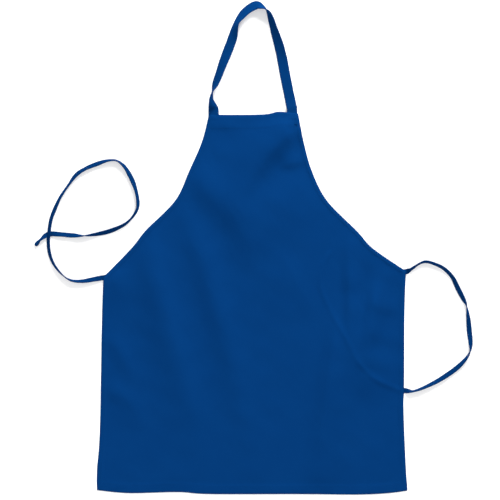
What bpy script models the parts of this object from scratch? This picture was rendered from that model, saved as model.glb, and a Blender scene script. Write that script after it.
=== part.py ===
"""A cloth bib apron lying face up on a flat surface.

The frame: +X to the right across the apron, +Y towards the neck, +Z up, and the origin on the surface
under the middle of the apron with its neck strap. "Left" and "right" are as seen from above.
The hems are turned to the back, so they lie under the panel and the apron rests on them.
"""

import math

import bmesh
import bpy
from mathutils import Matrix, Vector
from mathutils.geometry import interpolate_bezier

# Driving dimensions, in metres.
CLOTH = 0.0006  # the panel's one layer of cloth
HEM = 0.0018  # the turned-under layers of a hem
TAPE = 0.0010  # the neck strap and the ties, two layers pressed flat
GAP = 0.0003  # between pieces that touch
NECK_STRAP_WIDTH = 0.021
TIE_WIDTH = 0.0105
STITCH_INSET = 0.0015  # from a hem's inner edge to its line of thread
THREAD_RADIUS = 0.0004
TACK_WIDTH = 0.0018
TACK_HEIGHT = 0.0004
TIE_TACK_LENGTH = 0.010
TIE_TACK_INSET = 0.013  # from a corner to the tack over its tie's end
NECK_TACK_LENGTH = 0.015
NECK_TACK_INSET = 0.016
NECK_END_LENGTH = 0.030  # how much of the neck strap is sewn under the top hem
NOTCH_RUN_OUT = 0.004  # past the end of the tape that a hem's notch is for
TAIL_NOTCH_LENGTH = 0.040
TAIL_NOTCH_ROOM = 0.001  # on each side of the tail
TAIL_NOTCH_DIRECTION = Vector((1.0, -0.12))

# The panel's outline, anticlockwise from the bottom left corner. Each edge is a smooth curve
# through its points, and a corner is where two edges meet.
BOTTOM_LEFT = (-0.314, -0.490)
BOTTOM_RIGHT = (0.313, -0.491)
CORNER_RIGHT = (0.310, -0.048)
BIB_RIGHT = (0.092, 0.270)
BIB_LEFT = (-0.088, 0.268)
CORNER_LEFT = (-0.301, -0.060)
EDGES = {
    "bottom": [
        BOTTOM_LEFT,
        (-0.250, -0.496),
        (-0.150, -0.494),
        (-0.085, -0.498),
        (0.100, -0.498),
        (0.214, -0.499),
        (0.275, -0.496),
        BOTTOM_RIGHT,
    ],
    "side_right": [
        BOTTOM_RIGHT,
        (0.309, -0.430),
        (0.305, -0.325),
        (0.306, -0.280),
        (0.307, -0.130),
        CORNER_RIGHT,
    ],
    "armhole_right": [
        CORNER_RIGHT,
        (0.243, -0.002),
        (0.210, 0.034),
        (0.150, 0.095),
        (0.120, 0.154),
        (0.103, 0.214),
        BIB_RIGHT,
    ],
    "top": [BIB_RIGHT, (0.053, 0.274), (0.020, 0.2685), BIB_LEFT],
    "armhole_left": [
        BIB_LEFT,
        (-0.102, 0.214),
        (-0.127, 0.156),
        (-0.156, 0.095),
        (-0.215, 0.035),
        (-0.243, 0.000),
        CORNER_LEFT,
    ],
    "side_left": [CORNER_LEFT, (-0.304, -0.150), (-0.308, -0.365), (-0.314, -0.450), BOTTOM_LEFT],
}

# Each hem: its edge, its depth, then how far its cloth and its thread stop short of the start and
# the end of that edge.
HEMS = {
    "bottom_hem": ("bottom", 0.018, (0.001, 0.001), (0.004, 0.004)),
    "side_hem_right": ("side_right", 0.010, (0.022, 0.008), (0.020, 0.014)),
    "armhole_hem_right": ("armhole_right", 0.008, (0.020, 0.032), (0.018, 0.030)),
    "top_hem": ("top", 0.028, (0.001, 0.001), (0.004, 0.004)),
    "armhole_hem_left": ("armhole_left", 0.008, (0.032, 0.020), (0.030, 0.018)),
    "side_hem_left": ("side_left", 0.010, (0.008, 0.022), (0.014, 0.020)),
}

# The lines that the free tapes fold about: a point on each, and its direction. They are just above
# the panel, so that a folded tape clears it.
FOLD_HEIGHT = 0.0035
NECK_FOLD_POINT = Vector((0.0, 0.2755, FOLD_HEIGHT))
NECK_FOLD_AXIS = Vector((1.0, 0.0, 0.0))
LEFT_FOLD_POINT = Vector((-0.3020, -0.0605, FOLD_HEIGHT))
LEFT_FOLD_AXIS = Vector((0.55, 0.835, 0.0)).normalized()
RIGHT_FOLD_POINT = Vector((0.3115, -0.0480, FOLD_HEIGHT))
RIGHT_FOLD_END = Vector((0.3075, -0.2890, FOLD_HEIGHT))
RIGHT_FOLD_AXIS = (RIGHT_FOLD_END - RIGHT_FOLD_POINT).normalized()

# Each free tape's route: x, y and the height of its lower edge in metres, and how far the tape
# is turned about its own length there, in degrees. It lies flat at 0 and 180.
NECK_STRAP = [
    (-0.0785, 0.2760, 0.0, 0),
    (-0.0800, 0.2845, 0.0, 32),
    (-0.0820, 0.2930, 0.0, 58),
    (-0.0830, 0.3010, 0.0, 74),
    (-0.0805, 0.3140, 0.0, 92),
    (-0.0750, 0.3295, 0.0, 125),
    (-0.0680, 0.3480, 0.0, 136),
    (-0.0595, 0.3720, 0.0, 146),
    (-0.0490, 0.3990, 0.0, 158),
    (-0.0400, 0.4235, 0.0, 154),
    (-0.0330, 0.4510, 0.0, 120),
    (-0.0200, 0.4700, 0.0, 138),
    (-0.0060, 0.4825, 0.0, 146),
    (0.0080, 0.4890, 0.0, 146),
    (0.0185, 0.4860, 0.0, 120),
    (0.0275, 0.4800, 0.0, 92),
    (0.0350, 0.4675, 0.0, 64),
    (0.0450, 0.4350, 0.0, 44),
    (0.0540, 0.4060, 0.0, 24),
    (0.0605, 0.3780, 0.0, 4),
    (0.0660, 0.3480, 0.0, 0),
    (0.0730, 0.3130, 0.0, 0),
    (0.0790, 0.2840, 0.0, 0),
    (0.0800, 0.2760, 0.0, 0),
]
TIE_LEFT = [
    (-0.3025, -0.0612, 0.0, 0),
    (-0.3150, -0.0632, 0.0, 22),
    (-0.3440, -0.0680, 0.0, 54),
    (-0.3670, -0.0660, 0.0, 76),
    (-0.3850, -0.0540, 0.0, 100),
    (-0.4015, -0.0330, 0.0, 115),
    (-0.4100, -0.0100, 0.0, 126),
    (-0.4120, 0.0130, 0.0011, 128),
    (-0.4105, 0.0310, 0.0016, 128),
    (-0.4070, 0.0555, 0.0, 130),
    (-0.3990, 0.0775, 0.0, 134),
    (-0.3875, 0.1020, 0.0, 119),
    (-0.3715, 0.1260, 0.0, 113),
    (-0.3560, 0.1465, 0.0, 136),
    (-0.3375, 0.1590, 0.0, 130),
    (-0.3145, 0.1685, 0.0, 145),
    (-0.2920, 0.1755, 0.0, 113),
    (-0.2735, 0.1750, 0.0, 102),
    (-0.2575, 0.1620, 0.0, 123),
    (-0.2435, 0.1375, 0.0, 147),
    (-0.2350, 0.1140, 0.0, 122),
    (-0.2310, 0.0900, 0.0, 122),
    (-0.2345, 0.0730, 0.0, 112),
    (-0.2480, 0.0550, 0.0, 104),
    (-0.2655, 0.0425, 0.0, 124),
    (-0.2955, 0.0310, 0.0, 144),
    (-0.3345, 0.0240, 0.0, 98),
    (-0.3640, 0.0245, 0.0, 34),
    (-0.3870, 0.0265, 0.0, 34),
    (-0.4110, 0.0270, 0.0, 0),
    (-0.4270, 0.0165, 0.0, 68),
    (-0.4340, 0.0090, 0.0, 45),
    (-0.4385, 0.0035, 0.0, 30),
]
TIE_RIGHT = [
    (0.3120, -0.0482, 0.0, 0),
    (0.3185, -0.0448, 0.0, 55),
    (0.3240, -0.0412, 0.0, 66),
    (0.3370, -0.0325, 0.0, 74),
    (0.3490, -0.0288, 0.0, 64),
    (0.3645, -0.0320, 0.0, 63),
    (0.3860, -0.0423, 0.0, 56),
    (0.4035, -0.0600, 0.0, 46),
    (0.4155, -0.0840, 0.0, 24),
    (0.4260, -0.1045, 0.0, 46),
    (0.4320, -0.1180, 0.0, 90),
    (0.4355, -0.1420, 0.0, 140),
    (0.4380, -0.1690, 0.0, 176),
    (0.4405, -0.1930, 0.0, 144),
    (0.4388, -0.2110, 0.0, 92),
    (0.4270, -0.2287, 0.0, 55),
    (0.4073, -0.2473, 0.0, 22),
    (0.3747, -0.2687, 0.0, 42),
    (0.3430, -0.2840, 0.0, 66),
    (0.3255, -0.2898, 0.0, 78),
    (0.3165, -0.2900, 0.0, 52),
    (0.3080, -0.2890, 0.0, 0),
]
TIE_RIGHT_TAIL = [
    (0.3070, -0.2890, 0.0, 0),
    (0.2980, -0.2880, 0.0, 0),
    (0.2780, -0.2800, 0.0, 0),
    (0.2580, -0.2710, 0.0, 0),
    (0.2370, -0.2570, 0.0, 0),
    (0.2170, -0.2360, 0.0, 0),
    (0.2040, -0.2150, 0.0, 0),
    (0.1940, -0.1940, 0.0, 0),
    (0.1720, -0.1550, 0.0, 0),
    (0.1590, -0.1320, 0.0, 0),
    (0.1480, -0.1080, 0.0, 0),
    (0.1395, -0.0870, 0.0, 0),
    (0.1370, -0.0650, 0.0, 0),
    (0.1410, -0.0420, 0.0, 0),
    (0.1490, -0.0230, 0.0, 0),
    (0.1580, -0.0080, 0.0, 0),
]
# The ends that are sewn under the corners, from inside the corner out to the fold line.
TIE_END_LEFT = [(-0.2775, -0.0577, 0.0, 0), (-0.3017, -0.0609, 0.0, 0)]
TIE_END_RIGHT = [(0.2870, -0.0520, 0.0, 0), (0.3110, -0.0485, 0.0, 0)]
TAPE_STEP = 0.009  # between the cross-sections of a tape
EDGE_STEP = 0.012  # between the points of an outline

PANEL_BOTTOM = HEM + GAP
PANEL_TOP = PANEL_BOTTOM + CLOTH

COBALT = (0.0021, 0.0467, 0.198)
COBALT_HEM = (0.0018, 0.0410, 0.178)
COBALT_TAPE = (0.0024, 0.0510, 0.212)
COBALT_THREAD = (0.0040, 0.0640, 0.250)


def smooth_curve(points, step):
    """Points about `step` apart along the smooth curve that passes through all of `points`."""
    knots = [Vector(p) for p in points]
    ends = [knots[0]] + knots + [knots[-1]]
    found = [knots[0]]
    for before, start, end, after in zip(ends, ends[1:], ends[2:], ends[3:]):
        count = max(2, round((end - start).xy.length / step) + 1)
        handles = start + (end - before) / 6, end - (after - start) / 6
        found += bezier(start, *handles, end, count)[1:]
    return found


def bezier(start, handle_start, handle_end, end, count):
    """Points on a cubic Bezier curve, of any number of coordinates."""
    if len(start) == 3:
        return interpolate_bezier(start, handle_start, handle_end, end, count)
    corners = (start, handle_start, handle_end, end)
    low = interpolate_bezier(*[p.resized(3) for p in corners], count)
    if len(start) == 2:
        return [p.resized(2) for p in low]
    last = interpolate_bezier(*[Vector((p[3], 0.0, 0.0)) for p in corners], count)
    return [Vector((*p, q.x)) for p, q in zip(low, last)]


def inset(points, distance):
    """The points of a flat line, moved to its left."""
    moved = []
    for i, p in enumerate(points):
        along = points[min(i + 1, len(points) - 1)] - points[max(i - 1, 0)]
        left = Vector((-along.y, along.x)).normalized()
        moved.append(p + distance * left)
    return moved


def trimmed(points, start, end):
    """The flat line without its first `start` and its last `end` metres."""
    lengths = [0.0]
    for a, b in zip(points, points[1:]):
        lengths.append(lengths[-1] + (b - a).length)
    last = lengths[-1] - end
    inside = [p for p, at in zip(points, lengths) if start < at < last]
    return [point_at(points, lengths, start)] + inside + [point_at(points, lengths, last)]


def point_at(points, lengths, at):
    for i in range(len(points) - 1):
        if at <= lengths[i + 1]:
            share = (at - lengths[i]) / (lengths[i + 1] - lengths[i])
            return points[i].lerp(points[i + 1], share)
    return points[-1]


def cloth_material(name, colour, roughness):
    material = bpy.data.materials.new(name)
    material.use_nodes = True
    shader = material.node_tree.nodes["Principled BSDF"]
    shader.inputs["Base Color"].default_value = (*colour, 1.0)
    shader.inputs["Roughness"].default_value = roughness
    shader.inputs["Metallic"].default_value = 0.0
    return material


def add(name, data, material, collection):
    piece = bpy.data.objects.new(name, data)
    data.materials.append(material)
    collection.objects.link(piece)
    return piece


def curve_through(name, points, cyclic=False):
    curve = bpy.data.curves.new(name, "CURVE")
    spline = curve.splines.new("POLY")
    spline.points.add(len(points) - 1)
    for slot, p in zip(spline.points, points):
        slot.co = (*p.resized(3), 1.0)
    spline.use_cyclic_u = cyclic
    return curve


def flat_piece(name, outline, bottom, thickness, material, collection):
    """A flat piece of cloth: a filled outline with a thickness."""
    curve = curve_through(name, outline, cyclic=True)
    curve.dimensions = "2D"
    curve.fill_mode = "BOTH"
    curve.extrude = thickness / 2
    piece = add(name, curve, material, collection)
    piece.location.z = bottom + thickness / 2
    return piece


def band(name, edge, depth, start, end, material, collection):
    """A turned hem: the strip inside one edge of the panel, under the panel."""
    outer = trimmed(edge, start, end)
    outline = outer + inset(outer, depth)[::-1]
    return flat_piece(name, outline, 0.0, HEM, material, collection)


def thread(name, line, height, material, collection):
    """A line of stitching, as one thread that lies on the cloth."""
    curve = curve_through(name, [Vector((p.x, p.y, height)) for p in line])
    curve.dimensions = "3D"
    curve.bevel_depth = THREAD_RADIUS
    curve.bevel_resolution = 1
    curve.use_fill_caps = True
    return add(name, curve, material, collection)


def tape(name, route, width, material, collection, origin=Vector(), first_cut=None, last_cut=None):
    """A flat tape along a route, turned about its own length as the route says.

    Its centre is as high as its turned section needs to stand on its lower edge. A cut is the
    direction in which an end is cut, where that isn't square to the tape. The origin of a tape
    that folds is a point on its fold line.
    """
    stations = smooth_curve(route, TAPE_STEP)
    mesh = bmesh.new()
    rails = []
    for i, station in enumerate(stations):
        along = (stations[min(i + 1, len(stations) - 1)] - stations[max(i - 1, 0)]).xy.normalized()
        across = Vector((-along.y, along.x, 0.0))
        cut = {0: first_cut, len(stations) - 1: last_cut}.get(i)
        if cut:
            across = cut.normalized() / cut.normalized().dot(across)
        turn = math.radians(station[3])
        half = width / 2 * (math.cos(turn) * across + math.sin(turn) * Vector((0, 0, 1)))
        rise = width / 2 * abs(math.sin(turn)) + TAPE / 2 * abs(math.cos(turn))
        centre = station.resized(3) + Vector((0, 0, rise)) - origin
        rails.append((mesh.verts.new(centre - half), mesh.verts.new(centre + half)))
    for (a, b), (c, d) in zip(rails, rails[1:]):
        mesh.faces.new((a, c, d, b))
    data = bpy.data.meshes.new(name)
    mesh.to_mesh(data)
    mesh.free()
    piece = add(name, data, material, collection)
    piece.location = origin
    thicken = piece.modifiers.new("thickness", "SOLIDIFY")
    thicken.thickness = TAPE
    thicken.offset = 0.0
    return piece


def as_mesh(piece, collection):
    """The piece as a welded mesh, which a Boolean can cut."""
    evaluated = piece.evaluated_get(bpy.context.evaluated_depsgraph_get())
    data = bpy.data.meshes.new_from_object(evaluated)
    mesh = bmesh.new()
    mesh.from_mesh(data)
    bmesh.ops.remove_doubles(mesh, verts=mesh.verts, dist=0.00001)
    bmesh.ops.recalc_face_normals(mesh, faces=mesh.faces)
    mesh.to_mesh(data)
    mesh.free()
    name, place = piece.name, piece.matrix_world.copy()
    bpy.data.objects.remove(piece)
    solid = bpy.data.objects.new(name, data)
    solid.matrix_world = place
    collection.objects.link(solid)
    return solid


def notch(hem, name, centre, direction, length, width, cutters):
    """Cut a channel into a hem's underside, for a tape that passes under it."""
    mesh = bmesh.new()
    bmesh.ops.create_cube(mesh, size=1.0)
    top = TAPE + GAP
    place = Matrix.Translation((centre[0], centre[1], 0.0))
    turn = Matrix.Rotation(math.atan2(direction.y, direction.x), 4, "Z")
    size = Matrix.Diagonal((length, width + 2 * GAP, 2 * top, 1.0))
    bmesh.ops.transform(mesh, matrix=place @ turn @ size, verts=mesh.verts)
    data = bpy.data.meshes.new(name)
    mesh.to_mesh(data)
    mesh.free()
    cutter = bpy.data.objects.new(name, data)
    cutter.display_type = "WIRE"
    cutter.hide_render = True
    cutters.objects.link(cutter)
    cut = hem.modifiers.new(name, "BOOLEAN")
    cut.operation = "DIFFERENCE"
    cut.solver = "EXACT"
    cut.object = cutter


def tack(name, centre, direction, length, material, collection):
    """A short dense bar of stitches on top of the panel."""
    mesh = bmesh.new()
    bmesh.ops.create_cube(mesh, size=1.0)
    bmesh.ops.scale(mesh, vec=(length, TACK_WIDTH, TACK_HEIGHT), verts=mesh.verts)
    data = bpy.data.meshes.new(name)
    mesh.to_mesh(data)
    mesh.free()
    piece = add(name, data, material, collection)
    piece.location = (centre[0], centre[1], PANEL_TOP + GAP + TACK_HEIGHT / 2)
    piece.rotation_euler.z = math.atan2(direction.y, direction.x)
    return piece


def build_hems(edges, collection, cutters, material):
    hems = {}
    for name, (edge, depth, (start, end), _) in HEMS.items():
        hems[name] = band(name, edges[edge], depth, start, end, material, collection)

    bpy.context.view_layer.update()
    top = as_mesh(hems["top_hem"], collection)
    right = as_mesh(hems["side_hem_right"], collection)
    middle = NECK_FOLD_POINT.y - NECK_END_LENGTH / 2
    length = NECK_END_LENGTH + 2 * NOTCH_RUN_OUT
    for side, foot in (("left", NECK_STRAP[0]), ("right", NECK_STRAP[-1])):
        centre = (foot[0], middle)
        notch(top, f"neck_notch_{side}", centre, Vector((0, 1)), length, NECK_STRAP_WIDTH, cutters)
    crossing = TIE_RIGHT_TAIL[1][:2]
    width = TIE_WIDTH + 2 * TAIL_NOTCH_ROOM
    notch(right, "tail_notch", crossing, TAIL_NOTCH_DIRECTION, TAIL_NOTCH_LENGTH, width, cutters)


def build_stitching(edges, collection, material):
    height = PANEL_TOP + GAP + THREAD_RADIUS
    for name, (edge, depth, _, (start, end)) in HEMS.items():
        line = inset(trimmed(edges[edge], start, end), depth - STITCH_INSET)
        thread(name.replace("hem", "hem_stitching"), line, height, material, collection)


def build_neck_strap(collection, tapes, threads):
    width, fold, cut = NECK_STRAP_WIDTH, NECK_FOLD_POINT, NECK_FOLD_AXIS
    tape("neck_strap", NECK_STRAP, width, tapes, collection, fold, cut, cut)
    for side, foot in (("left", NECK_STRAP[0]), ("right", NECK_STRAP[-1])):
        end = [(foot[0], fold.y - NECK_END_LENGTH, 0.0, 0), (foot[0], fold.y, 0.0, 0)]
        tape(f"neck_strap_end_{side}", end, width, tapes, collection)
        centre = (foot[0], fold.y - NECK_TACK_INSET)
        across = Vector((1.0, 0.0))
        tack(f"neck_strap_tack_{side}", centre, across, NECK_TACK_LENGTH, threads, collection)


def build_ties(collection, tapes, threads):
    left, right = LEFT_FOLD_AXIS, RIGHT_FOLD_AXIS
    tape("waist_tie_left", TIE_LEFT, TIE_WIDTH, tapes, collection, LEFT_FOLD_POINT, left)
    tape("waist_tie_right", TIE_RIGHT, TIE_WIDTH, tapes, collection, RIGHT_FOLD_POINT, right, right)
    tape("waist_tie_right_tail", TIE_RIGHT_TAIL, TIE_WIDTH, tapes, collection, first_cut=right)
    for side, end, fold in (("left", TIE_END_LEFT, left), ("right", TIE_END_RIGHT, right)):
        tape(f"waist_tie_end_{side}", end, TIE_WIDTH, tapes, collection, last_cut=fold)
        inner, outer = (Vector(p[:2]) for p in end)
        inward = (inner - outer).normalized()
        across = Vector((-inward.y, inward.x))
        centre = outer + inward * TIE_TACK_INSET
        tack(f"waist_tie_tack_{side}", centre, across, TIE_TACK_LENGTH, threads, collection)


def main():
    for old in list(bpy.data.objects):
        bpy.data.objects.remove(old)
    apron = bpy.data.collections.new("apron")
    cutters = bpy.data.collections.new("cutters")
    for collection in (apron, cutters):
        bpy.context.scene.collection.children.link(collection)

    cloth = cloth_material("cloth", COBALT, 0.85)
    hems = cloth_material("hem_cloth", COBALT_HEM, 0.85)
    tapes = cloth_material("tape", COBALT_TAPE, 0.8)
    threads = cloth_material("thread", COBALT_THREAD, 0.7)

    edges = {name: smooth_curve(points, EDGE_STEP) for name, points in EDGES.items()}
    outline = [p for line in edges.values() for p in line[:-1]]
    flat_piece("body_panel", outline, PANEL_BOTTOM, CLOTH, cloth, apron)
    build_hems(edges, apron, cutters, hems)
    build_stitching(edges, apron, threads)
    build_neck_strap(apron, tapes, threads)
    build_ties(apron, tapes, threads)


main()
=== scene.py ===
"""The looks of a cloth bib apron that lies face up on a pale floor.

The frame is the CAD's: +X to the right, +Y towards the neck, +Z up, metres. The panel is one sheet
of woven cloth whose height is a sum of soft folds, hem thickness and the ridge over the tape under
it. The neck strap and the ties are flat tapes that turn about their own length as they lie.
"""

import math

import bpy
import numpy as np
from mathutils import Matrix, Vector
from mathutils.geometry import delaunay_2d_cdt


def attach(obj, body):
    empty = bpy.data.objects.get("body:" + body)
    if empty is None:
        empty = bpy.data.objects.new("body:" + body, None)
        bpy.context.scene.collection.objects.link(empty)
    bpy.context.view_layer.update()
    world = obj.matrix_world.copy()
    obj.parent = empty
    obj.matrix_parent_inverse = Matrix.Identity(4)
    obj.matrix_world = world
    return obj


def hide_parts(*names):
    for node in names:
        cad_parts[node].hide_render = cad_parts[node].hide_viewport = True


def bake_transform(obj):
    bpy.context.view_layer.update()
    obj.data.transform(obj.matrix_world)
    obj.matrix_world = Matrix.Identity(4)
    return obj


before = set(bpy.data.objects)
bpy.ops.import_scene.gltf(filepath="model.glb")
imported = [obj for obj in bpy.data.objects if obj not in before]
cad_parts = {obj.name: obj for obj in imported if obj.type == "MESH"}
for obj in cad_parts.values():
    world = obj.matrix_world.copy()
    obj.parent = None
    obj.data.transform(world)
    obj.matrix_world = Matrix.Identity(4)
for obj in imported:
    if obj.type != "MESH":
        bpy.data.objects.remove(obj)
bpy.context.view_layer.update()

# ---- Sizes and places, in metres ----
# The outline, the widths and the routes of the free tapes are the CAD's. The cloth and the hems'
# layers are a little thinner than there, and the tapes are plumper once they are clear of it.
CLOTH = 0.0005
TAPE = 0.0010
TAPE_PLUMP = 0.0011  # added to a tape's thickness once it is clear of the panel
TAPE_PLUMP_WITHIN = 0.012  # from the panel's edge to where it is all added
NECK_STRAP_WIDTH = 0.021
TIE_WIDTH = 0.0105
HEM_DEPTHS = {
    "bottom": 0.018,
    "side_right": 0.010,
    "armhole_right": 0.008,
    "top": 0.028,
    "armhole_left": 0.008,
    "side_left": 0.010,
}
HEM_THICKNESS = 0.0010
HEM_GAP = 0.00015  # under the panel
HEM_SETBACK = 0.0006  # from the panel's edge
STITCH_INSET = 0.0015
NECK_FOLD_Y = 0.2755

BOTTOM_LEFT = (-0.314, -0.490)
BOTTOM_RIGHT = (0.313, -0.491)
CORNER_RIGHT = (0.310, -0.048)
BIB_RIGHT = (0.092, 0.270)
BIB_LEFT = (-0.088, 0.268)
CORNER_LEFT = (-0.301, -0.060)
EDGES = {
    "bottom": [
        BOTTOM_LEFT,
        (-0.250, -0.496),
        (-0.150, -0.494),
        (-0.085, -0.498),
        (0.100, -0.498),
        (0.214, -0.499),
        (0.275, -0.496),
        BOTTOM_RIGHT,
    ],
    "side_right": [
        BOTTOM_RIGHT,
        (0.309, -0.430),
        (0.305, -0.325),
        (0.306, -0.280),
        (0.307, -0.130),
        CORNER_RIGHT,
    ],
    "armhole_right": [
        CORNER_RIGHT,
        (0.243, -0.002),
        (0.210, 0.034),
        (0.150, 0.095),
        (0.120, 0.154),
        (0.103, 0.214),
        BIB_RIGHT,
    ],
    "top": [BIB_RIGHT, (0.053, 0.274), (0.020, 0.2685), BIB_LEFT],
    "armhole_left": [
        BIB_LEFT,
        (-0.102, 0.214),
        (-0.127, 0.156),
        (-0.156, 0.095),
        (-0.215, 0.035),
        (-0.243, 0.000),
        CORNER_LEFT,
    ],
    "side_left": [CORNER_LEFT, (-0.304, -0.150), (-0.308, -0.365), (-0.314, -0.450), BOTTOM_LEFT],
}

# Each tape's route: x, y and the height of its lower edge in metres, and its turn in degrees.
NECK_STRAP = [
    (-0.0785, 0.2760, 0.0, 0),
    (-0.0800, 0.2845, 0.0, 32),
    (-0.0820, 0.2930, 0.0, 58),
    (-0.0830, 0.3010, 0.0, 74),
    (-0.0805, 0.3140, 0.0, 92),
    (-0.0750, 0.3295, 0.0, 125),
    (-0.0680, 0.3480, 0.0, 136),
    (-0.0595, 0.3720, 0.0, 146),
    (-0.0490, 0.3990, 0.0, 158),
    (-0.0400, 0.4235, 0.0, 154),
    (-0.0330, 0.4510, 0.0, 120),
    (-0.0200, 0.4700, 0.0, 138),
    (-0.0060, 0.4825, 0.0, 146),
    (0.0080, 0.4890, 0.0, 146),
    (0.0185, 0.4860, 0.0, 120),
    (0.0275, 0.4800, 0.0, 92),
    (0.0350, 0.4675, 0.0, 64),
    (0.0450, 0.4350, 0.0, 44),
    (0.0540, 0.4060, 0.0, 24),
    (0.0605, 0.3780, 0.0, 4),
    (0.0660, 0.3480, 0.0, 0),
    (0.0730, 0.3130, 0.0, 0),
    (0.0790, 0.2840, 0.0, 0),
    (0.0800, 0.2760, 0.0, 0),
]
TIE_LEFT = [
    (-0.3025, -0.0612, 0.0, 0),
    (-0.3150, -0.0632, 0.0, 22),
    (-0.3440, -0.0680, 0.0, 54),
    (-0.3670, -0.0660, 0.0, 76),
    (-0.3850, -0.0540, 0.0, 100),
    (-0.4015, -0.0330, 0.0, 115),
    (-0.4100, -0.0100, 0.0, 126),
    (-0.4120, 0.0130, 0.0011, 128),
    (-0.4105, 0.0310, 0.0016, 128),
    (-0.4070, 0.0555, 0.0, 130),
    (-0.3990, 0.0775, 0.0, 134),
    (-0.3875, 0.1020, 0.0, 119),
    (-0.3715, 0.1260, 0.0, 113),
    (-0.3560, 0.1465, 0.0, 136),
    (-0.3375, 0.1590, 0.0, 130),
    (-0.3145, 0.1685, 0.0, 145),
    (-0.2920, 0.1755, 0.0, 113),
    (-0.2735, 0.1750, 0.0, 102),
    (-0.2575, 0.1620, 0.0, 123),
    (-0.2435, 0.1375, 0.0, 147),
    (-0.2350, 0.1140, 0.0, 122),
    (-0.2310, 0.0900, 0.0, 122),
    (-0.2345, 0.0730, 0.0, 112),
    (-0.2480, 0.0550, 0.0, 104),
    (-0.2655, 0.0425, 0.0, 124),
    (-0.2955, 0.0310, 0.0, 144),
    (-0.3345, 0.0240, 0.0, 98),
    (-0.3640, 0.0245, 0.0, 34),
    (-0.3870, 0.0265, 0.0, 34),
    (-0.4110, 0.0270, 0.0, 0),
    (-0.4270, 0.0165, 0.0, 68),
    (-0.4340, 0.0090, 0.0, 45),
    (-0.4385, 0.0035, 0.0, 30),
]
TIE_RIGHT = [
    (0.3120, -0.0482, 0.0, 0),
    (0.3185, -0.0448, 0.0, 55),
    (0.3240, -0.0412, 0.0, 66),
    (0.3370, -0.0325, 0.0, 74),
    (0.3490, -0.0288, 0.0, 64),
    (0.3645, -0.0320, 0.0, 63),
    (0.3860, -0.0423, 0.0, 56),
    (0.4035, -0.0600, 0.0, 46),
    (0.4155, -0.0840, 0.0, 24),
    (0.4260, -0.1045, 0.0, 46),
    (0.4320, -0.1180, 0.0, 90),
    (0.4355, -0.1420, 0.0, 140),
    (0.4380, -0.1690, 0.0, 176),
    (0.4405, -0.1930, 0.0, 144),
    (0.4388, -0.2110, 0.0, 92),
    (0.4270, -0.2287, 0.0, 55),
    (0.4073, -0.2473, 0.0, 22),
    (0.3747, -0.2687, 0.0, 42),
    (0.3430, -0.2840, 0.0, 66),
    (0.3255, -0.2898, 0.0, 78),
    (0.3165, -0.2900, 0.0, 52),
    (0.3080, -0.2890, 0.0, 0),
]
TIE_RIGHT_TAIL = [
    (0.3070, -0.2890, 0.0, 0),
    (0.2980, -0.2880, 0.0, 0),
    (0.2780, -0.2800, 0.0, 0),
    (0.2580, -0.2710, 0.0, 0),
    (0.2370, -0.2570, 0.0, 0),
    (0.2170, -0.2360, 0.0, 0),
    (0.2040, -0.2150, 0.0, 0),
    (0.1940, -0.1940, 0.0, 0),
    (0.1720, -0.1550, 0.0, 0),
    (0.1590, -0.1320, 0.0, 0),
    (0.1480, -0.1080, 0.0, 0),
    (0.1395, -0.0870, 0.0, 0),
    (0.1370, -0.0650, 0.0, 0),
    (0.1410, -0.0420, 0.0, 0),
    (0.1490, -0.0230, 0.0, 0),
    (0.1580, -0.0080, 0.0, 0),
]
TIE_END_LEFT = [(-0.2775, -0.0577, 0.0, 0), (-0.2900, -0.0593, 0.0, 0)]
TIE_END_RIGHT = [(0.2870, -0.0520, 0.0, 0), (0.3000, -0.0501, 0.0, 0)]
NECK_END_LENGTH = 0.028
# A sewn end follows the cloth up and down, and is back on the floor this far along the tape.
SEWN_LENGTH = 0.060
SEWN_SLOPE = 0.032

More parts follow.
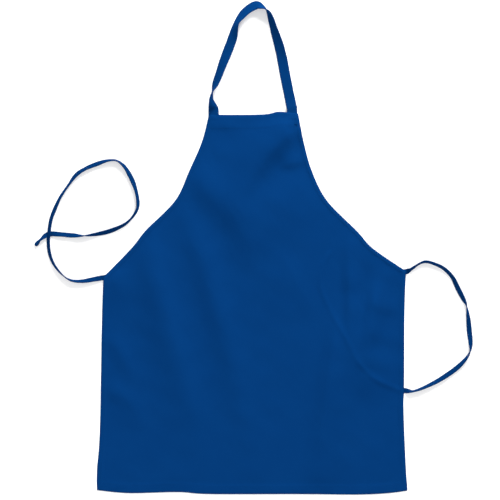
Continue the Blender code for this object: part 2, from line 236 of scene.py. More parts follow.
# ---- The panel's folds ----
# Each is a crest's line, its height, and its half-width to the left and to the right of the line
# as it runs. Each grows over the first part of its line and fades out over the last part.
FOLDS = [
    # the long folds that fan down from the left armhole
    (
        [(-0.228, 0.080), (-0.196, -0.060), (-0.170, -0.165), (-0.142, -0.265), (-0.088, -0.480)],
        0.0098,
        0.027,
        0.036,
    ),
    (
        [(-0.150, 0.110), (-0.104, -0.020), (-0.072, -0.120), (-0.046, -0.220), (0.012, -0.480)],
        0.0080,
        0.028,
        0.027,
    ),
    (
        [
            (-0.160, 0.186),
            (-0.084, 0.112),
            (-0.030, 0.056),
            (0.000, 0.000),
            (0.020, -0.050),
            (0.030, -0.100),
        ],
        0.0074,
        0.040,
        0.030,
    ),
    # the folds across the bib
    (
        [
            (0.150, 0.246),
            (0.090, 0.240),
            (0.060, 0.223),
            (0.028, 0.192),
            (0.000, 0.153),
            (-0.036, 0.088),
            (-0.066, 0.030),
        ],
        0.0150,
        0.026,
        0.050,
    ),
    ([(0.052, 0.166), (0.086, 0.174), (0.130, 0.182)], 0.0036, 0.030, 0.012),
    ([(-0.060, 0.084), (0.010, 0.082), (0.090, 0.088), (0.190, 0.108)], 0.0080, 0.052, 0.085),
    ([(-0.080, 0.184), (-0.056, 0.191), (-0.034, 0.193)], 0.0010, 0.022, 0.010),
    ([(-0.100, 0.252), (-0.060, 0.250), (-0.010, 0.242)], 0.0014, 0.016, 0.014),
    # puckers from the left side edge
    ([(-0.320, -0.066), (-0.270, -0.058), (-0.228, -0.042)], 0.0046, 0.015, 0.040),
    ([(-0.320, -0.180), (-0.280, -0.196), (-0.254, -0.236), (-0.228, -0.310)], 0.0032, 0.018, 0.018),
    ([(-0.320, -0.280), (-0.272, -0.296), (-0.240, -0.322), (-0.206, -0.386)], 0.0030, 0.018, 0.018),
    # puckers from the right side edge, where the tie pulls
    ([(0.226, -0.104), (0.262, -0.120), (0.330, -0.126)], 0.0018, 0.016, 0.014),
    ([(0.230, -0.150), (0.258, -0.178), (0.330, -0.194)], 0.0016, 0.015, 0.015),
    ([(0.220, -0.210), (0.266, -0.238), (0.330, -0.250)], 0.0034, 0.022, 0.026),
    ([(0.196, 0.052), (0.258, -0.006), (0.340, -0.052)], 0.0074, 0.020, 0.038),
    # the cloth that stands off beside the hidden tail
    ([(0.040, -0.010), (0.086, -0.076), (0.126, -0.160)], 0.0034, 0.024, 0.110),
    ([(0.196, 0.020), (0.197, -0.050), (0.199, -0.120), (0.202, -0.290)], 0.0070, 0.021, 0.014),
    ([(0.256, -0.040), (0.246, -0.110), (0.236, -0.170), (0.214, -0.300)], 0.0090, 0.022, 0.017),
    (
        [(0.178, -0.090), (0.169, -0.190), (0.157, -0.275), (0.146, -0.360), (0.124, -0.530)],
        0.0110,
        0.050,
        0.023,
    ),
    ([(0.206, -0.256), (0.244, -0.268), (0.310, -0.280)], 0.0030, 0.014, 0.030),
]
# The shares of a line that a fold grows and fades over, and how far into the growing it starts and
# how far short of the fading's end it stops.
FOLD_GROWS_OVER = 0.35
FOLD_STARTS_WITH = 0.15
FOLD_FADES_OVER = 0.65
FOLD_ENDS_WITH = 0.05

# ---- The rest of the panel's height, in metres ----
BASE_HEIGHT = 0.0011
LOWEST_SHARE = 0.6  # of BASE_HEIGHT, that the cloth never goes below
HEM_RISE = 0.0007
HEM_SLOPE = 0.0045
HEM_SLOPE_SHARE = 0.38  # of the hem's depth, where that is more than HEM_SLOPE
EDGE_START = 0.004  # the folds are at their lowest from here out to the edge
EDGE_WIDTH = 0.030  # and reach their full height this much further in
EDGE_SHARE = 0.60  # how much of a fold is left at the edge
EDGE_ROLL = 0.0009  # how far the very edge turns down
EDGE_ROLL_WIDTH = 0.0011
TAIL_RIDGE_HEIGHT = 0.0015
TAIL_RIDGE_HALF_WIDTH = 0.0047
TAIL_RIDGE_EDGE_SHARE = 0.72
TAIL_RIDGE_RUN_ON = 0.006  # past the tail's end
TAIL_RIDGE_END_SLOPE = 0.014
PUCKER_INSET = 0.010
PUCKER_WIDTH = 0.012
# Unevenness: how high the waves are, how long, and their seed. The ridge's are a share of it.
SLACK_WAVES = (0.00055, 0.150, 1)
WRINKLE_WAVES = (0.00022, 0.052, 2)
CRUMPLE_WAVES = (0.00006, 0.016, 3)
PUCKER_WAVES = (0.00014, 0.022, 4)
RIDGE_WAVES = (0.15, 0.060, 5)

# ---- Meshes and stitches, in metres, and shares of them ----
OUTLINE_STEP = 0.004
TAIL_STEP = 0.006
FOLD_STEP = 0.012
GRID = 0.0045
GRID_CLEAR = 0.0034  # from the outline to the nearest grid point
EDGE_LINES = (0.0009, 0.0022)  # lines of points inside the outline
HEM_LINE_SPACING = 0.0014  # between the three lines of points at a hem's inner edge
LINES_CLEAR = 0.0006  # from the outline to the nearest point of those lines
MERGE_WITHIN = 0.0004
HEM_LOWEST = 0.00005
TAPE_LOWEST = 0.00003
STITCH_LENGTH = 0.0026
STITCH_GAP = 0.0008
STITCH_LIFT = 0.00008
STITCH_SHOULDER = 0.72
STITCH_TIP_RADIUS = 0.35
STITCH_DIP = 1.5  # how many radii its ends go into the cloth
STITCH_STAND = 0.25  # how many radii its middle stands off it
TACK_GAP = 0.0002
TAPE_STITCH_INSET = 0.0014
TAPE_STITCH_LIFT = 0.00004
THREAD_RADIUS = 0.00022
STRAND_STEP = 0.0022
TAPE_CURL = 0.00025
TAPE_CURL_LENGTH = 0.017
TAPE_WIDTH_WAVES = ((0.018, 0.011), (0.014, 0.0043))  # each a share of the width, and a length
TAPE_TIP = 0.45  # of the width, over which a free end rounds off
TAPE_TIP_NARROWEST = 0.12  # the square of the share of the width that is left there
TAPE_CLEARANCE = 0.0001  # under a tape's lower edge

# ---- Colours, linear, and the cloth's pitches in metres ----
COBALT = (0.0010, 0.0285, 0.1240)
COBALT_LIGHT = (0.0018, 0.0380, 0.1530)
COBALT_DARK = (0.0006, 0.0210, 0.1000)
COBALTS = (COBALT, COBALT_LIGHT, COBALT_DARK)
# Painted shade: the strap's and the ties' colours are the cloth's, darkened by these shares.
STRAP_PAINTED_SHADE = 0.92
TIE_PAINTED_SHADE = 0.72
THREAD_COLOUR = (0.0026, 0.0430, 0.1700)
SHEEN_TINT = (0.02, 0.22, 0.90, 1.0)
FLOOR_COLOUR = (0.93, 0.93, 0.93)
FLOOR_GLOW = 0.15
FLOOR_Z = -0.0002
SKY_STRENGTH = 0.40
# From thread to thread, and from rib to rib.
CLOTH_PITCHES = (0.00052, 0.00110)
TAPE_PITCHES = (0.00060, 0.00130)
THREAD_PITCHES = (0.00030, 0.00040)
RELIEF_DEPTH = 0.00018

UP = np.array([0.0, 0.0, 1.0])


# ---- Lines ----
def smooth_curve(points, step):
    """Points about `step` apart along the smooth curve that passes through all of `points`."""
    knots = np.array(points, float)
    padded = np.concatenate([knots[:1], knots, knots[-1:]])
    slopes = (padded[2:] - padded[:-2]) / 2
    found = [knots[:1]]
    for a, b, slope_a, slope_b in zip(knots, knots[1:], slopes, slopes[1:]):
        count = max(2, round(np.linalg.norm((b - a)[:2]) / step) + 1)
        t = np.linspace(0, 1, count)[1:, None]
        start, end = 2 * t**3 - 3 * t**2 + 1, 3 * t**2 - 2 * t**3
        found.append(start * a + end * b + (t**3 - 2 * t**2 + t) * slope_a + (t**3 - t**2) * slope_b)
    return np.concatenate(found)


def along_of(line):
    """The unit direction at each point of a line."""
    step = np.gradient(line, axis=0)
    return step / np.linalg.norm(step, axis=1)[:, None]


def lengths_of(line):
    """How far along a line each of its points is."""
    steps = np.linalg.norm(np.diff(line, axis=0), axis=1)
    return np.concatenate([[0.0], np.cumsum(steps)])


def evenly(line, step):
    """The line again with its points evenly spaced along it."""
    at = lengths_of(line)
    wanted = np.linspace(0, at[-1], max(2, int(at[-1] / step) + 1))
    return np.stack([np.interp(wanted, at, line[:, k]) for k in range(line.shape[1])], axis=1)


def inset(line, distance):
    """A flat line moved to its left."""
    along = along_of(line[:, :2])
    return line[:, :2] + distance * np.stack([-along[:, 1], along[:, 0]], axis=1)


def nearest(points, line):
    """Each point's distance from a flat line, how far along the line its nearest place is, and
    whether the point is to the left of the line there."""
    starts, steps = line[:-1], np.diff(line, axis=0)
    at = lengths_of(line)
    squares = (steps**2).sum(1)
    best = np.full(len(points), np.inf)
    where = np.zeros(len(points))
    left = np.zeros(len(points), bool)
    for start, step, square, length in zip(starts, steps, squares, at):
        offset = points - start
        share = np.clip((offset @ step) / square, 0, 1)
        away = np.linalg.norm(offset - share[:, None] * step, axis=1)
        closer = away < best
        best[closer] = away[closer]
        where[closer] = length + share[closer] * math.sqrt(square)
        left[closer] = (step[0] * offset[:, 1] - step[1] * offset[:, 0])[closer] > 0
    return best, where, left


def ease(x):
    """0 up to 0, 1 from 1 on, and smooth in between."""
    x = np.clip(x, 0, 1)
    return x * x * (3 - 2 * x)


edges = {name: smooth_curve(points, OUTLINE_STEP) for name, points in EDGES.items()}
outline = np.concatenate([line[:-1] for line in edges.values()])
closed_outline = np.concatenate([outline, outline[:1]])


# ---- The panel's height ----
def waves(points, height, length, seed):
    """Gentle random waves of about one height and one length."""
    random = np.random.default_rng(seed)
    total = np.zeros(len(points))
    count = 9
    for _ in range(count):
        angle, phase = random.uniform(0, 2 * math.pi, 2)
        k = 2 * math.pi / (length * random.uniform(0.75, 1.35))
        total += np.sin(k * (points @ [math.cos(angle), math.sin(angle)]) + phase)
    return height * (total / math.sqrt(count))


tail_line = smooth_curve([p[:2] for p in TIE_RIGHT_TAIL], TAIL_STEP)
fold_lines = [(smooth_curve(line, FOLD_STEP), *sizes) for line, *sizes in FOLDS]


def hem_share(points):
    """1 on a hem, 0 off it."""
    share = np.zeros(len(points))
    for name, line in edges.items():
        away = nearest(points, line)[0]
        slope = max(HEM_SLOPE, HEM_SLOPE_SHARE * HEM_DEPTHS[name])
        share = np.maximum(share, ease((HEM_DEPTHS[name] - away) / slope + 0.5))
    return share


def edge_distance(points):
    """How far each point is from the panel's outline."""
    return nearest(points, closed_outline)[0]


def panel_height(points):
    """The height of the middle of the cloth above the floor."""
    away = edge_distance(points)
    height = np.full(len(points), BASE_HEIGHT)
    height += HEM_RISE * hem_share(points)
    inner = ease((away - EDGE_START) / EDGE_WIDTH)
    for line, rise, left_width, right_width in fold_lines:
        distance, at, left = nearest(points, line)
        length = lengths_of(line)[-1]
        grows = ease(at / (FOLD_GROWS_OVER * length) + FOLD_STARTS_WITH)
        fades = ease((length - at) / (FOLD_FADES_OVER * length) + FOLD_ENDS_WITH)
        width = np.where(left, left_width, right_width)
        share = EDGE_SHARE + (1 - EDGE_SHARE) * inner
        height += share * grows * fades * rise * np.exp(-((distance / width) ** 2))
    distance, at, _ = nearest(points, tail_line)
    left_over = lengths_of(tail_line)[-1] - at + TAIL_RIDGE_RUN_ON
    ridge = np.exp(-((distance / TAIL_RIDGE_HALF_WIDTH) ** 2)) * ease(left_over / TAIL_RIDGE_END_SLOPE)
    ridge *= TAIL_RIDGE_EDGE_SHARE + (1 - TAIL_RIDGE_EDGE_SHARE) * inner
    height += TAIL_RIDGE_HEIGHT * ridge * (1 - RIDGE_WAVES[0] + waves(points, *RIDGE_WAVES))
    height += inner * (waves(points, *SLACK_WAVES) + waves(points, *WRINKLE_WAVES))
    height += waves(points, *CRUMPLE_WAVES)
    height += np.exp(-(((away - PUCKER_INSET) / PUCKER_WIDTH) ** 2)) * waves(points, *PUCKER_WAVES)
    return np.maximum(height, BASE_HEIGHT * LOWEST_SHARE)


# ---- Materials ----
def node_of(tree, kind, **settings):
    """A new node of one kind, with its settings."""
    made = tree.nodes.new(kind)
    for name, value in settings.items():
        setattr(made, name, value)
    return made


def woven(name, base, light, dark, thread_pitch, rib_pitch, bump, sheen):
    """Woven cloth: crossing threads, a diagonal rib, uneven dye and a dry nap with a faint sheen."""
    material = bpy.data.materials.new(name)
    material.use_nodes = True
    tree = material.node_tree
    link = tree.links.new
    shader = tree.nodes["Principled BSDF"]
    place = node_of(tree, "ShaderNodeTexCoord")
    turned = node_of(tree, "ShaderNodeMapping")
    turned.inputs["Rotation"].default_value = (0.0, 0.0, math.radians(0.8))
    link(place.outputs["Object"], turned.inputs["Vector"])

    def bands(direction, pitch):
        wave = node_of(tree, "ShaderNodeTexWave", wave_type="BANDS", wave_profile="SIN")
        wave.bands_direction = direction
        wave.inputs["Scale"].default_value = math.pi / 10 / pitch
        wave.inputs["Distortion"].default_value = 0.35
        wave.inputs["Detail"].default_value = 1.0
        wave.inputs["Detail Scale"].default_value = 1.5
        link(turned.outputs["Vector"], wave.inputs["Vector"])
        return wave.outputs["Fac"]

    def noise(scale, detail, roughness=0.5):
        made = node_of(tree, "ShaderNodeTexNoise")
        made.inputs["Scale"].default_value = scale
        made.inputs["Detail"].default_value = detail
        made.inputs["Roughness"].default_value = roughness
        link(turned.outputs["Vector"], made.inputs["Vector"])
        return made.outputs["Fac"]

    def maths(operation, a, b):
        made = node_of(tree, "ShaderNodeMath", operation=operation)
        for socket, value in zip(made.inputs, (a, b)):
            if isinstance(value, float):
                socket.default_value = value
            else:
                link(value, socket)
        return made.outputs["Value"]

    def mixed(share, a, b):
        made = node_of(tree, "ShaderNodeMix", data_type="RGBA")
        link(share, made.inputs["Factor"])
        for socket, value in zip((made.inputs["A"], made.inputs["B"]), (a, b)):
            if isinstance(value, tuple):
                socket.default_value = (*value, 1.0)
            else:
                link(value, socket)
        return made.outputs["Result"]

    weave = maths("MULTIPLY", bands("X", thread_pitch), bands("Y", thread_pitch))
    rib = bands("DIAGONAL", rib_pitch)
    slubs = noise(900.0, 2.0)
    dye = noise(16.0, 8.0, 0.68)
    height = maths("ADD", maths("MULTIPLY", weave, 0.55), maths("MULTIPLY", rib, 0.30))
    height = maths("ADD", height, maths("MULTIPLY", slubs, 0.35))

    tone = mixed(maths("MULTIPLY", height, 0.55), dark, light)
    cloudy = mixed(maths("MULTIPLY", dye, 0.9), base, light)
    toned = maths("ADD", maths("MULTIPLY", slubs, 0.3), 0.30)
    link(mixed(toned, cloudy, tone), shader.inputs["Base Color"])
    link(maths("ADD", maths("MULTIPLY", slubs, 0.16), 0.74), shader.inputs["Roughness"])
    relief = node_of(tree, "ShaderNodeBump")
    relief.inputs["Strength"].default_value = bump
    relief.inputs["Distance"].default_value = RELIEF_DEPTH
    link(height, relief.inputs["Height"])
    link(relief.outputs["Normal"], shader.inputs["Normal"])
    shader.inputs["Specular IOR Level"].default_value = 0.005
    shader.inputs["Specular Tint"].default_value = SHEEN_TINT
    shader.inputs["Sheen Weight"].default_value = sheen
    shader.inputs["Sheen Roughness"].default_value = 0.4
    shader.inputs["Sheen Tint"].default_value = SHEEN_TINT
    return material


def with_painted_shade(share):
    """The cloth's three colours, darkened by a share as painted shade."""
    return [tuple(share * value for value in colour) for colour in COBALTS]


def floor_material():
    material = bpy.data.materials.new("floor")
    material.use_nodes = True
    shader = material.node_tree.nodes["Principled BSDF"]
    shader.inputs["Base Color"].default_value = (*FLOOR_COLOUR, 1.0)
    shader.inputs["Roughness"].default_value = 0.9
    shader.inputs["Specular IOR Level"].default_value = 0.1
    shader.inputs["Emission Color"].default_value = (1.0, 1.0, 1.0, 1.0)
    shader.inputs["Emission Strength"].default_value = FLOOR_GLOW
    return material


cloth_look = woven("cobalt_cloth", *COBALTS, *CLOTH_PITCHES, bump=0.45, sheen=0.16)
hem_look = woven("cobalt_hem_cloth", *COBALTS, *CLOTH_PITCHES, bump=0.45, sheen=0.14)
# The strap and the ties are the cloth's colours with painted shade: a little darker on the strap, much
# darker on the ties.
strap_look = woven("cobalt_strap", *with_painted_shade(STRAP_PAINTED_SHADE), *TAPE_PITCHES, bump=0.55, sheen=0.12)
tie_look = woven("cobalt_tie", *with_painted_shade(TIE_PAINTED_SHADE), *TAPE_PITCHES, bump=0.55, sheen=0.12)
thread_colours = (THREAD_COLOUR, COBALT_LIGHT, COBALT)
thread_look = woven("cobalt_thread", *thread_colours, *THREAD_PITCHES, bump=0.40, sheen=0.10)


# ---- Meshes ----
def mesh_piece(name, vertices, faces, material):
    """A smooth-shaded mesh, put in the scene."""
    data = bpy.data.meshes.new(name)
    data.from_pydata([tuple(v) for v in vertices], [], faces)
    data.validate()
    data.materials.append(material)
    data.shade_smooth()
    piece = bpy.data.objects.new(name, data)
    bpy.context.scene.collection.objects.link(piece)
    return piece


def applied(piece):
    """The piece with its modifiers applied."""
    evaluated = piece.evaluated_get(bpy.context.evaluated_depsgraph_get())
    data = bpy.data.meshes.new_from_object(evaluated)
    old = piece.data
    piece.modifiers.clear()
    piece.data = data
    bpy.data.meshes.remove(old)
    return piece


def cloth_points():
    """The outline, lines just inside it where the hems need them, and an even grid inside."""
    rings = []
    for name, line in edges.items():
        depth = HEM_DEPTHS[name]
        for distance in (*EDGE_LINES, depth - HEM_LINE_SPACING, depth, depth + HEM_LINE_SPACING):
            rings.append(inset(line, distance))
    low, high = outline.min(0), outline.max(0)
    rows = np.arange(low[1], high[1], GRID * math.sqrt(3) / 2)
    grid = []
    for i, y in enumerate(rows):
        xs = np.arange(low[0] + (i % 2) * GRID / 2, high[0], GRID)
        grid.append(np.stack([xs, np.full(len(xs), y)], axis=1))
    inside = np.concatenate(rings)
    inside = inside[edge_distance(inside) > LINES_CLEAR]
    grid = np.concatenate(grid)
    grid = grid[edge_distance(grid) > GRID_CLEAR]
    return np.concatenate([outline, inside, grid])


def make_panel():
    """One sheet over the panel's points, given the cloth's thickness."""
    points = cloth_points()
    count = len(outline)
    border = [(i, (i + 1) % count) for i in range(count)]
    found = delaunay_2d_cdt([Vector(p) for p in points], border, [], 1, MERGE_WITHIN)
    flat = np.array([tuple(v) for v in found[0]])
    faces = found[2]
    roll = EDGE_ROLL * np.exp(-((edge_distance(flat) / EDGE_ROLL_WIDTH) ** 2))
    height = panel_height(flat) - roll
    panel = mesh_piece("body_panel_cloth", np.column_stack([flat, height]), faces, cloth_look)
    thick = panel.modifiers.new("cloth", "SOLIDIFY")
    thick.thickness = CLOTH
    thick.offset = 0.0
    return applied(panel)


def strip_mesh(name, rings, material):
    """A closed skin over cross-sections that all have the same number of points."""
    rings = np.array(rings)
    count, around = rings.shape[:2]
    faces = []
    for i in range(count - 1):
        for j in range(around):
            k = (j + 1) % around
            faces.append((i * around + j, i * around + k, (i + 1) * around + k, (i + 1) * around + j))
    faces.append(tuple(range(around))[::-1])
    faces.append(tuple((count - 1) * around + j for j in range(around)))
    return mesh_piece(name, rings.reshape(-1, 3), faces, material)


def rounded_section(width, thickness):
    """A flat section with round edges, as (across, up) pairs, anticlockwise."""
    radius = thickness / 2
    section = []
    for side in (1, -1):
        for a in np.linspace(-math.pi / 2, math.pi / 2, 5):
            out = width / 2 - radius + radius * math.cos(a)
            section.append((side * out, side * radius * math.sin(a)))
        for share in (0.6, 0.2, -0.2, -0.6):
            section.append((side * share * width / 2, side * radius))
    return np.array(section)


def make_hem(name, edge, start, end):
    """The turned-under layers of a hem, under the panel's edge."""
    depth = HEM_DEPTHS[edge]
    line = evenly(edges[edge], OUTLINE_STEP)
    at = lengths_of(line)
    line = line[(at >= start) & (at <= at[-1] - end)]
    along = along_of(line)
    left = np.stack([-along[:, 1], along[:, 0]], axis=1)
    section = rounded_section(depth, HEM_THICKNESS)
    rings = []
    for p, n in zip(line, left):
        middle = p + n * (depth / 2 + HEM_SETBACK)
        rings.append([(*(middle + n * s), u) for s, u in section])
    rings = np.array(rings)
    flat = rings.reshape(-1, 3)[:, :2]
    height = panel_height(flat) - CLOTH / 2 - HEM_GAP - HEM_THICKNESS / 2
    rings[:, :, 2] += height.reshape(rings.shape[:2])
    rings[:, :, 2] = np.maximum(rings[:, :, 2], HEM_LOWEST)
    return strip_mesh(name, rings, hem_look)


def stitch(centre, along, up):
    """One stitch: a short rounded grain that dips into the cloth at both ends."""
    side = np.cross(up, along)
    angles = np.arange(6) * math.pi / 3
    rings = []
    for share in (-1.0, -STITCH_SHOULDER, 0.0, STITCH_SHOULDER, 1.0):
        radius = THREAD_RADIUS * (STITCH_TIP_RADIUS if abs(share) == 1.0 else 1.0)
        sink = THREAD_RADIUS * (STITCH_DIP * share**4 - STITCH_STAND)
        middle = centre + along * (share * STITCH_LENGTH / 2) - up * sink
        rings.append([middle + radius * (math.cos(a) * side + math.sin(a) * up) for a in angles])
    return np.array(rings)


def stitches_mesh(name, places):
    """Many stitches as one piece. Each place is a centre, a direction and an up direction."""
    vertices, faces = [], []
    for centre, along, up in places:
        rings = stitch(centre, along, up)
        first = len(vertices)
        vertices.extend(rings.reshape(-1, 3))
        count, around = rings.shape[:2]
        for i in range(count - 1):
            for j in range(around):
                k = (j + 1) % around
                a, b = first + i * around, first + (i + 1) * around
                faces.append((a + j, a + k, b + k, b + j))
        faces.append(tuple(first + j for j in range(around))[::-1])
        faces.append(tuple(first + (count - 1) * around + j for j in range(around)))
    return mesh_piece(name, vertices, faces, thread_look)


def panel_up(points):
    """The direction straight out of the cloth's face."""
    small = 0.0008
    rise_x = panel_height(points + [small, 0]) - panel_height(points - [small, 0])
    rise_y = panel_height(points + [0, small]) - panel_height(points - [0, small])
    up = np.column_stack([-rise_x, -rise_y, np.full(len(points), 2 * small)])
    return up / np.linalg.norm(up, axis=1)[:, None]


def make_hem_stitching(name, edge, start, end):
    """One line of stitches along a hem's inner edge."""
    line = inset(edges[edge], HEM_DEPTHS[edge] - STITCH_INSET)
    line = evenly(line, STITCH_LENGTH + STITCH_GAP)
    at = lengths_of(line)
    line = line[(at >= start) & (at <= at[-1] - end)]
    return stitches_mesh(name, on_panel(line, along_of(line)))


def on_panel(points, along):
    """Places on the panel's face, for stitches that lie along the given directions."""
    up = panel_up(points)
    height = panel_height(points) + CLOTH / 2
    centres = np.column_stack([points, height]) + STITCH_LIFT * up
    ahead = np.column_stack([along, np.zeros(len(along))])
    ahead -= (ahead * up).sum(1)[:, None] * up
    ahead /= np.linalg.norm(ahead, axis=1)[:, None]
    return list(zip(centres, ahead, up))


def make_tack(name, centre, direction, length, rows, spacing):
    """A dense group of stitches over a sewn-in tape end."""
    direction = np.array(direction, float)
    direction /= np.linalg.norm(direction)
    side = np.array([-direction[1], direction[0]])
    pitch = STITCH_LENGTH + TACK_GAP
    count = int(length / pitch)
    places = []
    for row in range(rows):
        offset = (row - (rows - 1) / 2) * spacing
        shift = (row % 2) * STITCH_LENGTH / 4
        for i in range(count):
            at = (i - (count - 1) / 2) * pitch + shift
            places.append(np.array(centre) + direction * at + side * offset)
    places = np.array(places)
    return stitches_mesh(name, on_panel(places, np.tile(direction, (len(places), 1))))


def sewn_share(at, both_ends):
    """1 where the tape is sewn under the panel, easing to 0 where it has come down to the floor."""
    share = ease((SEWN_LENGTH - at) / SEWN_SLOPE)
    if both_ends:
        share = np.maximum(share, ease((SEWN_LENGTH - (at[-1] - at)) / SEWN_SLOPE))
    return share


def free_thickness(points):
    """The tape's thickness: pressed flat under the panel, plumper once it is clear of it."""
    away, _, inside = nearest(points, closed_outline)
    return TAPE + TAPE_PLUMP * ease(np.where(inside, 0.0, away) / TAPE_PLUMP_WITHIN)


def make_tape(name, route, width, seed, free_end, look):
    """A flat folded tape on a route. Returns the piece, its centreline, and for each station the
    across and outward directions and the thickness."""
    stations = smooth_curve(route, STRAND_STEP)
    along = along_of(stations[:, :2])
    level = np.column_stack([-along[:, 1], along[:, 0], np.zeros(len(along))])
    turn = np.radians(stations[:, 3])
    cos, sin = np.cos(turn)[:, None], np.sin(turn)[:, None]
    across = cos * level + sin * UP
    outward = -sin * level + cos * UP

    at = lengths_of(stations[:, :2])
    phase = np.random.default_rng(seed).uniform(0, 2 * math.pi, 3)
    wide = np.ones(len(at))
    for (share, length), start in zip(TAPE_WIDTH_WAVES, phase):
        wide += share * np.sin(at / length + start)
    wide = np.minimum(1, wide)
    if free_end:
        left = (at[-1] - at) / (TAPE_TIP * width)
        wide *= np.sqrt(np.maximum(TAPE_TIP_NARROWEST, 1 - np.maximum(0, 1 - left) ** 2))
    curl = TAPE_CURL * np.sin(at / TAPE_CURL_LENGTH + phase[2])
    thick = free_thickness(stations[:, :2])

    rise = width / 2 * np.abs(np.sin(turn)) + thick / 2 * np.abs(np.cos(turn))
    raised = np.maximum(0, panel_height(stations[:, :2]) - BASE_HEIGHT - HEM_RISE)
    height = stations[:, 2] + rise + TAPE_CLEARANCE + sewn_share(at, not free_end) * raised
    centres = np.column_stack([stations[:, :2], height])

    section = rounded_section(width, TAPE)
    bow = 1 - (2 * section[:, 0] / width) ** 2
    rings = []
    for i, centre in enumerate(centres):
        out = section[:, 1] * thick[i] / TAPE + curl[i] * bow
        rings.append(centre + np.outer(section[:, 0] * wide[i], across[i]) + np.outer(out, outward[i]))
    rings = np.array(rings)
    rings[:, :, 2] = np.maximum(rings[:, :, 2], TAPE_LOWEST)
    return strip_mesh(name, rings, look), centres, (across, outward, thick)


def make_tape_stitching(name, centres, frames, width):
    """A row of stitches near each edge, on both faces."""
    across, outward, thick = frames
    places = []
    for side in (1, -1):
        line = centres + across * side * (width / 2 - TAPE_STITCH_INSET)
        for face in (1, -1):
            row = line + outward * face * (thick[:, None] / 2 + TAPE_STITCH_LIFT)
            at = lengths_of(row)
            wanted = np.arange(STITCH_LENGTH, at[-1] - STITCH_LENGTH, STITCH_LENGTH + STITCH_GAP)
            spots = np.stack([np.interp(wanted, at, row[:, k]) for k in range(3)], axis=1)
            normals = np.stack([np.interp(wanted, at, face * outward[:, k]) for k in range(3)], axis=1)
            normals /= np.linalg.norm(normals, axis=1)[:, None]
            places += list(zip(spots, along_of(spots), normals))
    return stitches_mesh(name, places)


# ---- Camera ----
CAMERA_HEIGHT = 6.0
VIEW_WIDTH = 1.010
VIEW_CENTRE = (-0.005, -0.005)
SENSOR_WIDTH = 36.0
camera_data = bpy.data.cameras.new("camera")
camera_data.sensor_width = SENSOR_WIDTH
camera_data.lens = SENSOR_WIDTH * CAMERA_HEIGHT / VIEW_WIDTH
camera = bpy.data.objects.new("camera", camera_data)
camera.location = (*VIEW_CENTRE, CAMERA_HEIGHT)
bpy.context.scene.collection.objects.link(camera)
bpy.context.scene.camera = camera

# ---- The neck strap and the ties ----
neck_route = [(NECK_STRAP[0][0], NECK_FOLD_Y - NECK_END_LENGTH, 0.0, 0)] + NECK_STRAP
neck_route += [(NECK_STRAP[-1][0], NECK_FOLD_Y - NECK_END_LENGTH, 0.0, 0)]
left_route = TIE_END_LEFT + TIE_LEFT
right_route = TIE_END_RIGHT + TIE_RIGHT + TIE_RIGHT_TAIL[1:]

neck_strap, neck_line, neck_frames = make_tape(
    "neck_strap_tape",
    neck_route,
    NECK_STRAP_WIDTH,
    seed=11,
    free_end=False,
    look=strap_look,
)
tie_left, left_line, _ = make_tape(
    "waist_tie_left_tape",
    left_route,
    TIE_WIDTH,
    seed=12,
    free_end=True,
    look=tie_look,
)
tie_right, right_line, _ = make_tape(
    "waist_tie_right_tape",
    right_route,
    TIE_WIDTH,
    seed=13,
    free_end=True,
    look=tie_look,
)
neck_stitches = make_tape_stitching("neck_strap_stitches", neck_line, neck_frames, NECK_STRAP_WIDTH)

# ---- The panel, its hems and its stitching ----
panel = make_panel()
# Each hem and each line of stitches: its edge, and how far short of the edge's two ends it stops.
hems = {
    "top_hem": ("top", 0.0005, 0.0005),
    "bottom_hem": ("bottom", 0.0005, 0.0005),
    "side_hem_left": ("side_left", 0.008, 0.019),
    "side_hem_right": ("side_right", 0.019, 0.008),
    "armhole_hem_left": ("armhole_left", 0.026, 0.018),
    "armhole_hem_right": ("armhole_right", 0.018, 0.026),
}
for node, (edge, start, end) in hems.items():
    hem = make_hem(f"{node}_fold", edge, start, end)
    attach(hem, "apron")
    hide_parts(node)

stitching = {
    "top_hem_stitching": ("top", 0.002, 0.002),
    "bottom_hem_stitching": ("bottom", 0.002, 0.002),
    "side_hem_stitching_left": ("side_left", 0.002, 0.017),
    "side_hem_stitching_right": ("side_right", 0.017, 0.002),
    "armhole_hem_stitching_left": ("armhole_left", 0.024, 0.003),
    "armhole_hem_stitching_right": ("armhole_right", 0.003, 0.024),
}
for node, (edge, start, end) in stitching.items():
    row = make_hem_stitching(f"{node}_row", edge, start, end)
    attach(row, "apron")
    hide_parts(node)

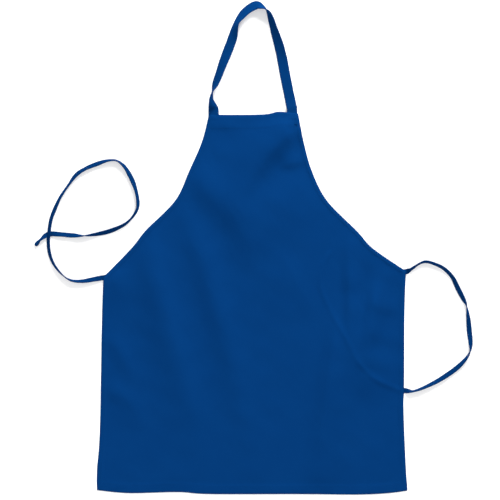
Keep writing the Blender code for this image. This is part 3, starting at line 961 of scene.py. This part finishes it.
# Each tack: its middle, the way its rows run, their length, how many, and how far apart.
tacks = {
    "neck_strap_tack_left": ((-0.0785, 0.2595), (1, 0), 0.018, 2, 0.0011),
    "neck_strap_tack_right": ((0.0800, 0.2595), (1, 0), 0.018, 2, 0.0011),
    "waist_tie_tack_left": ((-0.2895, -0.0592), (0.13, 0.99), 0.009, 3, 0.0010),
    "waist_tie_tack_right": ((0.2990, -0.0503), (0.12, 0.99), 0.009, 3, 0.0010),
}
for node, (centre, direction, length, rows, spacing) in tacks.items():
    tack = make_tack(f"{node}_stitches", centre, direction, length, rows, spacing)
    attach(tack, "apron")
    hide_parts(node)

# ---- Which body each piece follows ----
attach(panel, "apron")
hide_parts("body_panel")

for piece in (neck_strap, neck_stitches):
    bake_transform(piece)
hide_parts("neck_strap", "neck_strap_end_left", "neck_strap_end_right")

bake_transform(tie_left)
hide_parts("waist_tie_left", "waist_tie_end_left")

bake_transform(tie_right)
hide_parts("waist_tie_right", "waist_tie_end_right", "waist_tie_right_tail")

# ---- Floor and light ----
bpy.ops.mesh.primitive_plane_add(size=30.0, location=(0.0, 0.0, FLOOR_Z))
floor = bpy.context.object
floor.name = "floor"
floor.data.materials.append(floor_material())


def area_light(name, place, size, power):
    """A square soft light that faces the middle of the apron's frame."""
    data = bpy.data.lights.new(name, "AREA")
    data.size = size
    data.energy = power
    lamp = bpy.data.objects.new(name, data)
    lamp.location = place
    lamp.rotation_euler = (Vector((0, 0, 0)) - Vector(place)).to_track_quat("-Z", "Y").to_euler()
    bpy.context.scene.collection.objects.link(lamp)


area_light("key", place=(1.1, 4.05, 2.1), size=2.6, power=455.0)
area_light("fill", place=(-0.6, -2.6, 3.2), size=3.0, power=104.0)
world = bpy.data.worlds.new("studio")
world.use_nodes = True
world.node_tree.nodes["Background"].inputs["Color"].default_value = (1.0, 1.0, 1.0, 1.0)
world.node_tree.nodes["Background"].inputs["Strength"].default_value = SKY_STRENGTH
bpy.context.scene.world = world
bpy.context.scene.view_settings.view_transform = "Standard"
